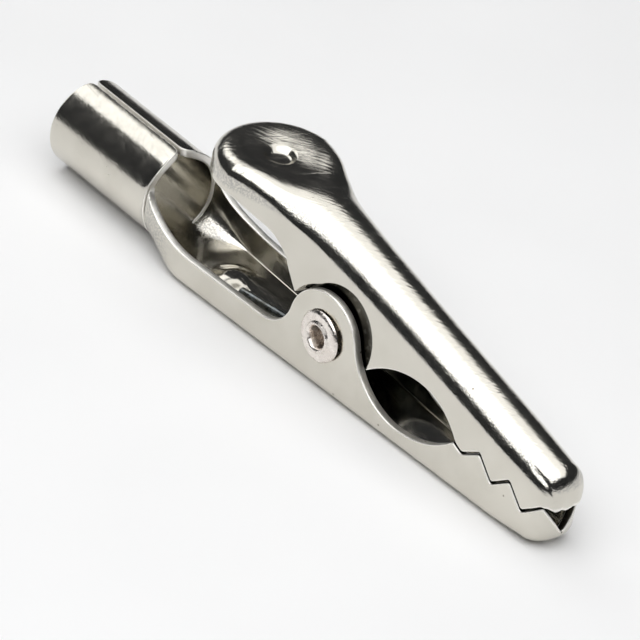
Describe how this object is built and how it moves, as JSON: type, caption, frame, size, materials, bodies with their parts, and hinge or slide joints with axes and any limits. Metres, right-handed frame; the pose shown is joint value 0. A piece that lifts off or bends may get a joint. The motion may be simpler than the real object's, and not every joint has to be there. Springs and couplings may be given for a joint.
{
  "type": "alligator clip",
  "caption": "Spring-closed toothed test clip with a rolled barrel for a plug, a thumb pad, a hollow rivet pivot and a torsion spring.",
  "frame": {"origin": "centre of the mouth of the rolled barrel, on the barrel's axis", "axes": "+X from the barrel's mouth towards the jaw tips, +Z towards the thumb pad, Y across the clip along the rivet"},
  "size_m": [0.0516, 0.009, 0.0118],
  "materials": {
    "lower_jaw": "bright nickel plate, dull and dusty on the flats",
    "upper_jaw": "bright nickel plate with brushed roof and pad",
    "pivot_rivet": "bright plate, nicked on the rolled rim",
    "torsion_spring": "dark spring wire"
  },
  "bodies": {
    "lower_jaw": {"lower_jaw": "lower_jaw", "pivot_rivet": "pivot_rivet", "torsion_spring": "torsion_spring"},
    "upper_jaw": {"upper_jaw": "upper_jaw"}
  },
  "joints": [
    {"name": "jaw_hinge", "type": "hinge", "parent": "lower_jaw", "child": "upper_jaw", "pos_m": [0.0298, 0, 0.00075], "axis": [0, -1, 0], "range_deg": [0, 25], "stiffness_Nm_per_rad": 0.08, "springref_deg": -68.75, "deforming": ["torsion_spring"]}
  ]
}
